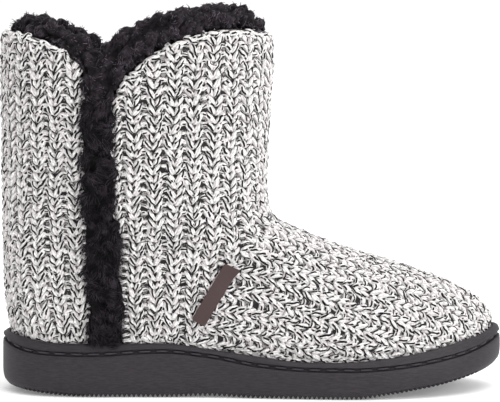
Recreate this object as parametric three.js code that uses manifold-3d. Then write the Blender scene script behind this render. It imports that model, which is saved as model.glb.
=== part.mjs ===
// A knitted slipper boot for the right foot, standing empty on its sole.
// Millimetres, +Z up, the toe towards +X and the outer side of the foot towards -Y.
// While it is drawn, x runs from the back of the heel; at the end the shoe is centred on its own box.
import * as THREE from "three";
import { mergeVertices } from "three/addons/utils/BufferGeometryUtils.js";
import Module from "manifold-3d";

const wasm = await Module();
wasm.setup();

// Driving dimensions
const SOLE_LENGTH = 270;
const KNIT_WALL = 3.2;
const PILE_WALL = 5;
const INSOLE_THICKNESS = 5;
const GAP = 0.35;
const LAST_INSET = 5.4; // from the sole's widest outline in to the knitted wall
const SHAFT_WIDTH = 94;

// Outline of the sole at its widest, from the heel forwards: reach to the outer and the inner side of the foot
const OUTLINE = [
  { x: 4, outer: 16, inner: 16 },
  { x: 16, outer: 28.6, inner: 28.2 },
  { x: 42, outer: 34.7, inner: 34.2 },
  { x: 78, outer: 35.3, inner: 33.6 },
  { x: 115, outer: 36.6, inner: 32.4 },
  { x: 150, outer: 41, inner: 37.6 },
  { x: 184, outer: 44, inner: 45.4 },
  { x: 214, outer: 41.6, inner: 46.6 },
  { x: 242, outer: 31.4, inner: 40.4 },
  { x: 261.5, outer: 14.6, inner: 27.4 },
];
const TOE_TIP_Y = 7;

// Heights of the sole along the foot: ground side, stitch groove, top of the lip, and the floor of the cup
const SOLE_HEIGHTS = [
  { x: 0, bottom: 3.6, groove: 29.2, rim: 33.2, floor: 18 },
  { x: 8, bottom: 2.9, groove: 26.6, rim: 32, floor: 17.7 },
  { x: 18, bottom: 1.9, groove: 24.2, rim: 29.6, floor: 17.4 },
  { x: 30, bottom: 0.8, groove: 22.5, rim: 27.4, floor: 17.4 },
  { x: 45, bottom: 0, groove: 21.6, rim: 26.6, floor: 17.4 },
  { x: 88, bottom: 0, groove: 21.8, rim: 26.6, floor: 17.4 },
  { x: 112, bottom: 0.8, groove: 21.2, rim: 25.8, floor: 16.4 },
  { x: 138, bottom: 0, groove: 17.7, rim: 22.6, floor: 13.2 },
  { x: 165, bottom: 0, groove: 15.9, rim: 19.6, floor: 10.6 },
  { x: 190, bottom: 0, groove: 15.8, rim: 20.1, floor: 10.7 },
  { x: 206, bottom: 2, groove: 16.7, rim: 21.7, floor: 12 },
  { x: 220, bottom: 3.9, groove: 18.1, rim: 23.5, floor: 13.8 },
  { x: 234, bottom: 5.9, groove: 20.2, rim: 26, floor: 16 },
  { x: 248, bottom: 8.5, groove: 22.8, rim: 29.1, floor: 18.6 },
  { x: 260, bottom: 11.2, groove: 26.2, rim: 31.9, floor: 21.2 },
  { x: 270, bottom: 14, groove: 30, rim: 35.6, floor: 24 },
];

// The sole's wall from the tread up and over the lip: inset from the widest outline, and a step from one height
const SOLE_WALL = [
  { inset: 9, from: "bottom", step: 0 },
  { inset: 3.4, from: "bottom", step: 0 },
  { inset: 1.2, from: "bottom", step: 2 },
  { inset: 0.2, from: "bottom", step: 5.5 },
  { inset: 0, from: "bottom", step: 8 },
  { inset: 0.5, from: "groove", step: -1.1 },
  { inset: 2, from: "groove", step: -0.8 },
  { inset: 2, from: "groove", step: 0.8 },
  { inset: 0.6, from: "groove", step: 1.1 },
  { inset: 1.4, from: "rim", step: -1.3 },
  { inset: 2.6, from: "rim", step: 0 },
  { inset: 3.8, from: "rim", step: -0.1 },
  { inset: 4.6, from: "rim", step: -3 },
  { inset: 5, from: "floor", step: 0 },
];

// Sections of the upper from inside the cup to the collar. back and toe are its ends along the foot, each with its
// height; heel and ball are widths; oval turns the foot's outline into the shaft's; follow ties it to the sole's lip.
const UPPER_SECTIONS = [
  { back: 5.4, backUp: 18, toe: 264.6, toeUp: 24, heel: 58.4, ball: 79.2, oval: 0, follow: 1 },
  { back: 5.2, backUp: 32.5, toe: 264.8, toeUp: 34.6, heel: 58.8, ball: 79.6, oval: 0, follow: 1 },
  { back: 3.7, backUp: 36.5, toe: 265.2, toeUp: 38.2, heel: 62.4, ball: 83.2, oval: 0, follow: 1 },
  { back: 2.6, backUp: 43, toe: 262.4, toeUp: 43.4, heel: 66.5, ball: 84.4, oval: 0, follow: 0.85 },
  { back: 1.8, backUp: 50, toe: 254.4, toeUp: 50.6, heel: 70, ball: 81, oval: 0.02, follow: 0.62 },
  { back: 1.4, backUp: 57, toe: 240.8, toeUp: 58, heel: 73, ball: 76, oval: 0.05, follow: 0.42 },
  { back: 1.2, backUp: 64, toe: 221.6, toeUp: 65, heel: 76, ball: 71, oval: 0.12, follow: 0.26 },
  { back: 1, backUp: 71, toe: 200.4, toeUp: 71.6, heel: 79, ball: 67, oval: 0.25, follow: 0.12 },
  { back: 0.9, backUp: 79, toe: 178.4, toeUp: 78.4, heel: 81.5, ball: 67, oval: 0.45, follow: 0.05 },
  { back: 0.8, backUp: 86, toe: 161.6, toeUp: 85.4, heel: 84, ball: 73, oval: 0.7, follow: 0 },
  { back: 0.7, backUp: 93.5, toe: 149.4, toeUp: 90.8, heel: 86, ball: 81, oval: 0.9, follow: 0 },
  { back: 0.7, backUp: 102, toe: 143.4, toeUp: 97.8, heel: 87.5, ball: 86, oval: 1, follow: 0 },
  { back: 0.6, backUp: 118, toe: 142.6, toeUp: 116, heel: 89, ball: 89, oval: 1, follow: 0 },
  { back: 0.5, backUp: 146, toe: 144, toeUp: 146, heel: 91.5, ball: 91.5, oval: 1, follow: 0 },
  { back: 0.5, backUp: 174, toe: 146, toeUp: 174, heel: 93.6, ball: 93.6, oval: 1, follow: 0 },
  { back: 0.8, backUp: 188, toe: 146, toeUp: 188, heel: SHAFT_WIDTH, ball: SHAFT_WIDTH, oval: 1, follow: 0 },
  { back: 2.2, backUp: 197, toe: 144.4, toeUp: 197, heel: 92, ball: 92, oval: 1, follow: 0 },
];
const OVAL_POWER = 2.25; // of the shaft's superellipse

// The knitted edge seen from the side: rounded corners of the back and front panels, with the notch between them
const COLLAR_EDGE = [
  { x: -20, z: 193.5 },
  { x: 4, z: 193.4 },
  { x: 16, z: 191.5 },
  { x: 27, z: 188 },
  { x: 36.5, z: 183.4 },
  { x: 43, z: 177.8 },
  { x: 46, z: 170 },
  { x: 46.8, z: 161 },
  { x: 49.6, z: 155.4 },
  { x: 58, z: 155.2 },
  { x: 62.6, z: 159 },
  { x: 69.4, z: 168.4 },
  { x: 80.6, z: 179.5 },
  { x: 93, z: 187 },
  { x: 106, z: 191.6 },
  { x: 120, z: 194.4 },
  { x: 136, z: 193.4 },
  { x: 170, z: 190.5 },
];

// Top of the pile roll seen from the side, and how far its face stands in from the knitted wall
const ROLL_TOP = [
  { x: 0, z: 198.4, face: 5 },
  { x: 8, z: 199.8, face: 4.8 },
  { x: 20, z: 198.8, face: 4 },
  { x: 32, z: 193, face: 1.6 },
  { x: 44, z: 190.4, face: -1 },
  { x: 50, z: 187.6, face: -1.8 },
  { x: 55, z: 183, face: -2 },
  { x: 60, z: 186.4, face: -1.9 },
  { x: 75, z: 195.2, face: -1.2 },
  { x: 92, z: 200.8, face: 0.2 },
  { x: 108, z: 204.2, face: 1.6 },
  { x: 128, z: 205.8, face: 2.6 },
  { x: 138, z: 202.2, face: 2.9 },
  { x: 146, z: 197.4, face: 3 },
];
// Section of the roll: drop below its top, and where it lies from its outer face (1) to its inner face (-1)
const ROLL_SECTION = [
  { drop: 26, across: 1 },
  { drop: 18.5, across: 1 },
  { drop: 11.5, across: 1 },
  { drop: 5.4, across: 0.94 },
  { drop: 1.4, across: 0.6 },
  { drop: 0, across: 0 },
  { drop: 1.8, across: -0.66 },
  { drop: 6.4, across: -1 },
  { drop: 12.4, across: -0.78 },
];
const ROLL = { radius: 7, around: 72, foot: 148, lump: 0.9, lock: 2.4 };

const STRIP = {
  low: { x: 58.2, z: 28.8, halfWidth: 9.4 },
  high: { x: 54.2, z: 154, halfWidth: 7.8 },
  seat: 0.6,
  pile: 4.4,
  rows: 29,
  lump: 0.7,
  lock: 1.9,
};
// Section of a strip: place across its width, and height as a share of its pile
const STRIP_SECTION = [
  { at: -1, height: 0 },
  { at: 0, height: 0 },
  { at: 1, height: 0 },
  { at: 1.04, height: 0.42 },
  { at: 0.62, height: 0.85 },
  { at: 0, height: 1 },
  { at: -0.62, height: 0.85 },
  { at: -1.04, height: 0.42 },
];

const LABEL = {
  low: { x: 108.4, z: 41.4 },
  high: { x: 125.8, z: 70 },
  halfWidth: 3.8,
  seat: 0.5,
  thickness: 1.1,
  rows: 8,
};

// Value of one column of a table at x, on a smooth curve that never swings past its rows
function readTable(rows, column, x) {
  const last = rows.length - 1;
  if (x <= rows[0].x) return rows[0][column];
  if (x >= rows[last].x) return rows[last][column];
  const slope = (k) => (rows[k + 1][column] - rows[k][column]) / (rows[k + 1].x - rows[k].x);
  const tangent = (k) => {
    if (k === 0) return slope(0);
    if (k === last) return slope(last - 1);
    const product = slope(k - 1) * slope(k);
    return product > 0 ? (2 * product) / (slope(k - 1) + slope(k)) : 0;
  };
  const k = rows.findIndex((row) => row.x > x) - 1;
  const span = rows[k + 1].x - rows[k].x;
  const t = (x - rows[k].x) / span;
  const rise = rows[k + 1][column] - rows[k][column];
  const early = t * (1 - t) * (1 - t) * span * tangent(k);
  const late = t * t * (t - 1) * span * tangent(k + 1);
  return rows[k][column] + t * t * (3 - 2 * t) * rise + early + late;
}

const mix = (a, b, share) => a + (b - a) * share;
const soleHeight = (line, x) => readTable(SOLE_HEIGHTS, line, x);
const insoleTop = (x) => soleHeight("floor", x) + GAP + INSOLE_THICKNESS;

// A repeatable number from -1 to 1 for the unevenness of the pile
const uneven = (a, b) => {
  const wave = Math.sin(a * 12.9898 + b * 78.233) * 43758.5453;
  return 2 * (wave - Math.floor(wave)) - 1;
};

// Whether a lock of pile stands up here: every second point of every second row, staggered
const isLock = (i, row) => row % 2 === 0 && (i + row / 2) % 2 === 0;

// Points round the sole's outline, or inset from it: from the heel past the outer side to the toe, and back
function outlinePoints(stepsPerRow, inset = 0) {
  const outer = OUTLINE.map((row) => new THREE.Vector3(row.x, -row.outer, 0));
  const inner = OUTLINE.map((row) => new THREE.Vector3(row.x, row.inner, 0)).reverse();
  const heel = new THREE.Vector3(0, 0, 0);
  const toe = new THREE.Vector3(SOLE_LENGTH, TOE_TIP_Y, 0);
  const posts = [heel, ...outer, toe, ...inner];
  const curve = new THREE.CatmullRomCurve3(posts, true, "centripetal");
  const count = posts.length * stepsPerRow;
  return Array.from({ length: count }, (_, i) => {
    const point = curve.getPoint(i / count);
    const along = curve.getTangent(i / count);
    return new THREE.Vector2(point.x - inset * along.y, point.y + inset * along.x);
  });
}

// Faces between two rings of count points, which start at low and high in the list of points
function facesBetween(low, high, count) {
  const faces = [];
  for (let i = 0; i < count; i++) {
    const next = (i + 1) % count;
    faces.push(low + i, low + next, high + next, low + i, high + next, high + i);
  }
  return faces;
}

// A solid through rings of points, with both ends closed from side to side
function loftedSolid(rings) {
  const count = rings[0].length;
  const last = (rings.length - 1) * count;
  const faces = rings.slice(1).flatMap((_, j) => facesBetween(j * count, (j + 1) * count, count));
  for (let i = 0; i < count / 2; i++) {
    const [a, b, c, d] = [i, i + 1, (count - i - 1) % count, (count - i) % count];
    for (const face of [[a, c, b], [a, d, c]]) {
      if (new Set(face).size === 3) faces.push(...face, ...face.map((v) => last + v).reverse());
    }
  }
  return solidFrom(new THREE.BufferGeometry().setFromPoints(rings.flat()).setIndex(faces));
}

// A ring-shaped solid: its sections stand round the opening, and the last one meets the first
function ringSolid(sections) {
  const count = sections[0].length;
  const faces = sections.flatMap((_, j) => {
    const next = (j + 1) % sections.length;
    return facesBetween(j * count, next * count, count);
  });
  return solidFrom(new THREE.BufferGeometry().setFromPoints(sections.flat()).setIndex(faces));
}

// A tube-like wall between outer and inner rings, open at both ends. Both skins have the same diagonals.
function wallSolid(outer, inner) {
  const count = outer[0].length;
  const first = outer.length * count;
  const top = (outer.length - 1) * count;
  const skin = outer.slice(1).flatMap((_, j) => facesBetween(j * count, (j + 1) * count, count));
  const lining = skin.map((v) => first + v).reverse();
  const faces = [...skin, ...lining, ...facesBetween(first, 0, count), ...facesBetween(top, first + top, count)];
  return solidFrom(new THREE.BufferGeometry().setFromPoints([...outer, ...inner].flat()).setIndex(faces));
}

function solidFrom(geometry) {
  const bare = geometry.clone();
  bare.deleteAttribute("normal");
  bare.deleteAttribute("uv");
  const merged = mergeVertices(bare, 1e-4);
  const triVerts = new Uint32Array(merged.index.array);
  const vertProperties = merged.attributes.position.array;
  const build = () => new wasm.Manifold(new wasm.Mesh({ numProp: 3, vertProperties, triVerts }));
  const solid = build();
  if (solid.volume() > 0) return solid;
  for (let i = 0; i < triVerts.length; i += 3) {
    [triVerts[i + 1], triVerts[i + 2]] = [triVerts[i + 2], triVerts[i + 1]];
  }
  return build();
}

function geometryFrom(solid) {
  const mesh = solid.getMesh();
  const geometry = new THREE.BufferGeometry();
  geometry.setAttribute("position", new THREE.BufferAttribute(new Float32Array(mesh.vertProperties), 3));
  geometry.setIndex(new THREE.BufferAttribute(new Uint32Array(mesh.triVerts), 1));
  return geometry;
}

// A slab right across the shoe, whose side view is the polygon of (x, z) points
function slabAcross(points) {
  const reach = 150;
  const geometry = new THREE.ExtrudeGeometry(new THREE.Shape(points), { depth: 2 * reach, bevelEnabled: false });
  geometry.rotateX(Math.PI / 2).translate(0, reach, 0);
  return solidFrom(geometry);
}

// Everything above the knitted edge, moved off that edge by lift
function aboveCollar(lift) {
  const posts = COLLAR_EDGE.map((row) => new THREE.Vector2(row.x, row.z));
  const curve = new THREE.SplineCurve(posts);
  const count = 34;
  const line = Array.from({ length: count + 1 }, (_, i) => {
    const along = curve.getTangent(i / count);
    return curve.getPoint(i / count).add(new THREE.Vector2(-along.y, along.x).multiplyScalar(lift));
  });
  const ceiling = 260;
  const ends = [posts.at(-1), posts[0]].map((post) => new THREE.Vector2(post.x, ceiling));
  return slabAcross([...line, ...ends]);
}

function ringOnSole(inset, height, stepsPerRow) {
  return outlinePoints(stepsPerRow, inset).map((p) => new THREE.Vector3(p.x, p.y, height(p.x)));
}

function makeOutsole() {
  return loftedSolid(
    SOLE_WALL.map((row) => ringOnSole(row.inset, (x) => soleHeight(row.from, x) + row.step, 3)),
  );
}

function makeInsole() {
  const inset = LAST_INSET + KNIT_WALL + GAP;
  const low = (x) => soleHeight("floor", x) + GAP;
  const rings = [
    ringOnSole(inset + 0.8, low, 2),
    ringOnSole(inset, (x) => low(x) + 1, 2),
    ringOnSole(inset, (x) => insoleTop(x) - 1.6, 2),
    ringOnSole(inset + 1.6, insoleTop, 2),
  ];
  return loftedSolid(rings);
}

// Reach of the shaft's oval from its middle, for unit half axes
function ovalReach(angle) {
  const sum = Math.abs(Math.cos(angle)) ** OVAL_POWER + Math.abs(Math.sin(angle)) ** OVAL_POWER;
  return sum ** (-1 / OVAL_POWER);
}

// Points of one section of the upper's outside
function sectionRing(section) {
  const first = UPPER_SECTIONS[0];
  const middle = (section.toe + section.back) / 2;
  const shareOf = (x) => (x - section.back) / (section.toe - section.back);
  const lipChord = (x) => mix(soleHeight("rim", section.back), soleHeight("rim", section.toe), shareOf(x));
  return outlinePoints(2, LAST_INSET).map((p) => {
    const share = (p.x - first.back) / (first.toe - first.back);
    const forward = THREE.MathUtils.smoothstep(share, 0.25, 0.65);
    const footX = mix(section.back, section.toe, share);
    const footY = p.y * mix(section.heel / first.heel, section.ball / first.ball, forward);
    const angle = Math.atan2((2 * p.y) / first.ball, 2 * share - 1);
    const reach = ovalReach(angle);
    const x = mix(footX, middle + (section.toe - middle) * reach * Math.cos(angle), section.oval);
    const y = mix(footY, (section.heel / 2) * reach * Math.sin(angle), section.oval);
    const lean = mix(section.backUp, section.toeUp, shareOf(x));
    return new THREE.Vector3(x, y, lean + section.follow * (soleHeight("rim", x) - lipChord(x)));
  });
}

const outsideRings = UPPER_SECTIONS.map(sectionRing);

// The outside rings moved in along their own normals, the lowest one at the height that foot gives
function ringsInside(depth, foot) {
  const count = outsideRings[0].length;
  const last = outsideRings.length - 1;
  const rings = outsideRings.map((ring, j) =>
    ring.map((point, i) => {
      const across = ring[(i + 1) % count].clone().sub(ring[(i + count - 1) % count]);
      const up = outsideRings[Math.min(j + 1, last)][i].clone().sub(outsideRings[Math.max(j - 1, 0)][i]);
      return point.clone().addScaledVector(across.cross(up).normalize(), -depth);
    }),
  );
  for (const point of rings[0]) point.z = foot(point.x);
  return rings;
}

function makeUpper() {
  const foot = (x) => soleHeight("floor", x) + GAP;
  return wallSolid(ringsInside(0, foot), ringsInside(KNIT_WALL, foot));
}

function makeLining() {
  const foot = (x) => insoleTop(x) + GAP;
  const near = KNIT_WALL + GAP;
  return wallSolid(ringsInside(near, foot), ringsInside(near + PILE_WALL, foot));
}

// The pile roll: a lumpy ring with locks, cut along the knitted edge so that it fills both notches
function makeCollar() {
  const top = UPPER_SECTIONS[UPPER_SECTIONS.length - 2];
  const middle = (top.back + top.toe) / 2;
  const sections = Array.from({ length: ROLL.around }, (_, i) => {
    const angle = (2 * Math.PI * i) / ROLL.around;
    const reach = ovalReach(angle);
    const at = (inset) =>
      new THREE.Vector2(
        middle + (top.toe - middle - inset) * reach * Math.cos(angle),
        (SHAFT_WIDTH / 2 - inset) * reach * Math.sin(angle),
      );
    const { x } = at(0);
    const height = readTable(ROLL_TOP, "z", x);
    const inset = readTable(ROLL_TOP, "face", x) + ROLL.radius;
    const crown = ROLL_SECTION.map(({ drop, across }, k) => {
      const lock = isLock(i, k) ? ROLL.lock * (across > -0.5 ? 1 : 0.5) : 0;
      const swell = ROLL.lump * uneven(i, k) + lock;
      const p = at(inset - across * (ROLL.radius + swell - ROLL.lump));
      return new THREE.Vector3(p.x, p.y, height - drop + (1 - Math.abs(across)) * swell);
    });
    const feet = [KNIT_WALL + PILE_WALL + GAP, inset - ROLL.radius].map(at);
    return [...crown, ...feet.map((p) => new THREE.Vector3(p.x, p.y, ROLL.foot))];
  });
  return ringSolid(sections).intersect(aboveCollar(GAP));
}

const knitWall = makeUpper();
const outsideMesh = new THREE.Mesh(geometryFrom(knitWall), new THREE.MeshBasicMaterial());

// A point off the upper's outside: side is -1 for the outer and 1 for the inner side of the foot
function pointOn(side, x, z, off) {
  const from = new THREE.Vector3(x, side * 120, z);
  const ray = new THREE.Raycaster(from, new THREE.Vector3(0, -side, 0));
  const [hit] = ray.intersectObject(outsideMesh);
  return hit.point.addScaledVector(hit.face.normal, off);
}

// A strip of pile on one side, from the notch down to the lip of the sole
function makeStrip(side) {
  const rings = Array.from({ length: STRIP.rows }, (_, j) => {
    const share = j / (STRIP.rows - 1);
    const middle = mix(STRIP.low.x, STRIP.high.x, share);
    const z = mix(STRIP.low.z, STRIP.high.z, share);
    const halfWidth = mix(STRIP.low.halfWidth, STRIP.high.halfWidth, share);
    const between = share > 0 && share < 1;
    return STRIP_SECTION.map(({ at, height }, k) => {
      const lump = between && height > 0 ? STRIP.lump * uneven(j, k + side) : 0;
      const lock = between && height > 0.5 && isLock(k, j) ? STRIP.lock : 0;
      const off = STRIP.seat + STRIP.pile * height + (height > 0.5 ? lump : 0) + lock;
      return pointOn(side, middle + at * (halfWidth + lump), z, off);
    });
  });
  return loftedSolid(rings);
}

function makeLabel() {
  const along = new THREE.Vector2(LABEL.high.x - LABEL.low.x, LABEL.high.z - LABEL.low.z).normalize();
  const rings = Array.from({ length: LABEL.rows }, (_, j) => {
    const share = j / (LABEL.rows - 1);
    const x = mix(LABEL.low.x, LABEL.high.x, share);
    const z = mix(LABEL.low.z, LABEL.high.z, share);
    const corner = (across, off) =>
      pointOn(-1, x + along.y * across * LABEL.halfWidth, z - along.x * across * LABEL.halfWidth, off);
    const face = LABEL.seat + LABEL.thickness;
    return [corner(-1, LABEL.seat), corner(1, LABEL.seat), corner(1, face), corner(-1, face)];
  });
  return loftedSolid(rings);
}

const rubber = new THREE.MeshStandardMaterial({ color: 0x45424a, roughness: 0.62, metalness: 0 });
const knit = new THREE.MeshStandardMaterial({ color: 0xb9b6b2, roughness: 0.95, metalness: 0 });
const pile = new THREE.MeshStandardMaterial({ color: 0x2b292d, roughness: 1, metalness: 0 });
const ribbon = new THREE.MeshStandardMaterial({ color: 0x5b4645, roughness: 0.7, metalness: 0 });

function namedMesh(name, solid, material) {
  const mesh = new THREE.Mesh(geometryFrom(solid), material);
  mesh.name = name;
  return mesh;
}

const shoe = new THREE.Group();
shoe.add(
  namedMesh("outsole", makeOutsole(), rubber),
  namedMesh("insole", makeInsole(), pile),
  namedMesh("upper", knitWall.subtract(aboveCollar(0)), knit),
  namedMesh("lining", makeLining().subtract(aboveCollar(0)), pile),
  namedMesh("fur_collar", makeCollar(), pile),
  namedMesh("fur_strip_outer", makeStrip(-1), pile),
  namedMesh("fur_strip_inner", makeStrip(1), pile),
  namedMesh("label", makeLabel(), ribbon),
);

// The origin is the middle of the shoe's own box, on the ground
const box = new THREE.Box3().setFromObject(shoe);
const centre = box.getCenter(new THREE.Vector3());
for (const mesh of shoe.children) mesh.position.set(-centre.x, -centre.y, 0);

export default shoe;
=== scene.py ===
# Looks for the knitted slipper boot, right shoe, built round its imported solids.
# Metres, +Z up, the toe towards +X and the outer side of the foot towards -Y.
# Tables are in millimetres, and their x runs from the back of the heel, as in the part's source.
import math

import bmesh
import bpy
import numpy as np
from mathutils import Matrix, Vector, noise
from mathutils.bvhtree import BVHTree


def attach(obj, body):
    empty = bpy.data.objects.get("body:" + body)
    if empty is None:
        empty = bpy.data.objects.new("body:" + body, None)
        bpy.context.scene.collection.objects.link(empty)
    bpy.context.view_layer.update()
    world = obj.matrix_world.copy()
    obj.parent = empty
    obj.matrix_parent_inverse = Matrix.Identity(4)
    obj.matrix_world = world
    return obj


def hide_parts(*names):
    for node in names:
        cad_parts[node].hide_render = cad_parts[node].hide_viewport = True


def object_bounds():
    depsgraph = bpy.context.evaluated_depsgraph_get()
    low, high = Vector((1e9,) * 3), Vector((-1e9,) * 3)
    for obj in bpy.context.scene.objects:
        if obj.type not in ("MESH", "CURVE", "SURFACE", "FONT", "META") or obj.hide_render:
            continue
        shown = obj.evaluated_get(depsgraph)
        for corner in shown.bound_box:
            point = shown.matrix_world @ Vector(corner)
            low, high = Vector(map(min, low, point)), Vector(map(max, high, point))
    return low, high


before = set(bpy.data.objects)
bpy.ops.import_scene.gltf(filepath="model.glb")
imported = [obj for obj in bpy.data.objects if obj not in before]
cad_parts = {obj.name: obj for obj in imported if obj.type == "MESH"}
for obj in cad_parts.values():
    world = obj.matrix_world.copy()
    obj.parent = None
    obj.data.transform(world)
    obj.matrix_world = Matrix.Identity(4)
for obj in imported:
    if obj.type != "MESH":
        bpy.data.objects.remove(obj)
cad_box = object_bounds()

MM = 0.001
HEEL = cad_box[0][0]  # x of the back of the heel
SOLE_LENGTH = 270
TOE_TIP_Y = 7
OVAL_POWER = 2.25  # of the shaft's superellipse

rng = np.random.default_rng(7)
noise.seed_set(7)

# Outline of the sole at its widest: reach to the outer and the inner side of the foot
OUTLINE = [
    (4, 16, 16),
    (16, 28.6, 28.2),
    (42, 34.7, 34.2),
    (78, 35.3, 33.6),
    (115, 36.6, 32.4),
    (150, 41, 37.6),
    (184, 44, 45.4),
    (214, 41.6, 46.6),
    (242, 31.4, 40.4),
    (261.5, 14.6, 27.4),
]

# Heights of the sole along the foot: x, ground side, stitch groove, top of the lip, floor of the cup
SOLE_HEIGHTS = np.array([
    (0, 3.6, 29, 32.2, 18),
    (8, 2.9, 26, 31.6, 17.7),
    (18, 1.9, 24, 29.9, 17.4),
    (30, 0.8, 23.1, 28.6, 17.4),
    (45, 0, 22.9, 28.5, 17.4),
    (88, 0, 24.7, 28.8, 17.4),
    (112, 0.8, 22.4, 25.9, 16.4),
    (138, 0, 17.9, 22.4, 13.2),
    (165, 0, 15.9, 19.6, 10.6),
    (190, 0, 15.8, 20.1, 10.7),
    (206, 2, 16.7, 21.7, 12),
    (220, 3.9, 18.1, 23.5, 13.8),
    (234, 5.9, 20.2, 26, 16),
    (248, 8.5, 22.8, 29.1, 18.6),
    (260, 11.2, 26.2, 31.3, 21.2),
    (270, 14, 30, 34.4, 24),
])
LINES = {"bottom": 1, "groove": 2, "rim": 3, "floor": 4}

# The sole's wall from the tread up and over the lip: inset from the outline, the height it steps from,
# the step, and how much of the tread's ribs it has
SOLE_WALL = [
    (9, "bottom", 0, 1),
    (3.6, "bottom", 0, 1),
    (2.6, "bottom", 0.5, 0.85),
    (1.5, "bottom", 1.9, 0.15),
    (0.9, "bottom", 2.7, 0),
    (0.45, "bottom", 4, 0),
    (0.12, "bottom", 6, 0),
    (0, "bottom", 8.5, 0),
    (0.1, "groove", -3.4, 0),
    (0.25, "groove", -1.7, 0),
    (0.6, "groove", -1.2, 0),
    (2.4, "groove", -1.05, 0),
    (2.8, "groove", 0, 0),
    (2.4, "groove", 1.05, 0),
    (0.7, "groove", 1.2, 0),
    (0.4, "groove", 1.5, 0),
    (0.6, "groove", 2, 0),
    (1.1, "rim", -1.1, 0),
    (1.8, "rim", -0.4, 0),
    (2.7, "rim", 0, 0),
    (3.7, "rim", -0.2, 0),
    (4.4, "rim", -1, 0),
    (4.6, "rim", -3, 0),
    (5, "floor", 0, 0),
]
RIB = {"pitch": 2.5, "depth": 1.4}
GROOVE_STITCH = {"pitch": 9, "length": 6.6, "radius": 0.6, "inset": 1.8}

# The knitted edge seen from the side
COLLAR_EDGE = [
    (-20, 193.5),
    (4, 193.4),
    (16, 191.5),
    (27, 188),
    (36.5, 183.4),
    (43, 177.8),
    (46, 170),
    (46.8, 161),
    (49.6, 155.4),
    (58, 155.2),
    (62.6, 159),
    (69.4, 168.4),
    (80.6, 179.5),
    (93, 187),
    (106, 191.6),
    (120, 194.4),
    (136, 193.4),
    (170, 190.5),
]

# The seam between the upright knit of the shaft and the knit of the vamp, seen from the side
SEAM = [(105, 20), (109, 41), (116, 58), (123, 72), (134, 81), (140, 88), (143.5, 96.7), (150, 104)]

# How far the top of the collar's roll is raised along the foot, or lowered where it is below zero
COLLAR_RISE = [
    (0, -2),
    (6, -1),
    (12, 0.5),
    (17, 2),
    (21, 2.8),
    (25, 1),
    (38, 0.5),
    (45, 2),
    (53, -0.5),
    (64, 3),
    (82, 3),
    (95, 2),
    (108, 1.4),
    (120, 1.4),
    (130, 3.2),
    (137, 4.2),
    (146, 0.5),
]

SHAFT = {"back": 0.8, "front": 146, "width": 94}
STRIP = {"low": (58.2, 28.8, 9.4), "high": (54.2, 154, 7.8)}
LABEL = {"low": (106.7, 41.2), "high": (123.8, 69.8), "half_width": 3.7}

# Wales round the shaft, the vamp's wale and stitch, how far the wall is drawn in, the yarn's twist
KNIT = {"wales": 36, "vamp_wale": 10.4, "vamp_course": 4.8, "sunk": 1.4, "twist": 0.02}
COURSE_PITCH = [(50, 4.2), (95, 4), (118, 4.1), (140, 4.6)]  # of the shaft's stitches, by height
LOOP_PITCH = {"edge": 4.2, "rim": 5}
NOTCH = (40, 67)  # x between which the knitted edge has no loops
VAMP = {"throat": 146.6, "toe": 268.6, "beside": 145.8, "back": 98, "step": 0.75}  # x along its courses
HALF_RANKS = range(-19, 20)  # half wales beside the vamp's top line; the even ones are raised


def spot(x, y, z):
    """A point given in millimetres from the back of the heel, in the row frame."""
    return Vector((HEEL + x * MM, y * MM, z * MM))


def read_table(column, x):
    """Heights of one line of the sole at x, on a curve that never swings past its rows."""
    xs, ys = SOLE_HEIGHTS[:, 0], SOLE_HEIGHTS[:, LINES[column]]
    x = np.clip(x, xs[0], xs[-1])
    k = np.clip(np.searchsorted(xs, x, side="right") - 1, 0, len(xs) - 2)
    slope = np.diff(ys) / np.diff(xs)
    before, after = slope[:-1], slope[1:]
    same_way = before * after > 0
    inner = np.where(same_way, 2 * before * after / np.where(same_way, before + after, 1), 0)
    tangent = np.concatenate([slope[:1], inner, slope[-1:]])
    span = np.diff(xs)[k]
    t = (x - xs[k]) / span
    rise = ys[k + 1] - ys[k]
    early = t * (1 - t) ** 2 * span * tangent[k]
    late = t * t * (t - 1) * span * tangent[k + 1]
    return ys[k] + t * t * (3 - 2 * t) * rise + early + late


def through(posts, per_post):
    """Points on a closed centripetal curve through the posts."""
    posts = np.array(posts, float)
    turns = [np.roll(posts, shift, axis=0) for shift in (1, 0, -1, -2)]
    gaps = [np.sqrt(np.linalg.norm(b - a, axis=1))[:, None] for a, b in zip(turns, turns[1:])]
    p0, p1, p2, p3 = turns
    g0, g1, g2 = gaps
    start = ((p1 - p0) / g0 - (p2 - p0) / (g0 + g1) + (p2 - p1) / g1) * g1
    end = ((p2 - p1) / g1 - (p3 - p1) / (g1 + g2) + (p3 - p2) / g2) * g1
    t = np.linspace(0, 1, per_post, endpoint=False)[:, None, None]
    cube = 2 * p1 - 2 * p2 + start + end
    square = -3 * p1 + 3 * p2 - 2 * start - end
    return (((cube * t + square) * t + start) * t + p1).transpose(1, 0, 2).reshape(-1, posts.shape[1])


def run_along(places):
    """How far along a line each of its places lies."""
    return np.concatenate([[0], np.cumsum(np.linalg.norm(np.diff(places, axis=0), axis=1))])


def srgb(hex_code):
    """Linear colour of an sRGB hex value."""
    parts = [int(hex_code[i:i + 2], 16) / 255 for i in (0, 2, 4)]
    return (*[c / 12.92 if c <= 0.04045 else ((c + 0.055) / 1.055) ** 2.4 for c in parts], 1)


def new_material(name):
    material = bpy.data.materials.new(name)
    material.use_nodes = True
    return material, material.node_tree, material.node_tree.nodes["Principled BSDF"]


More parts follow.
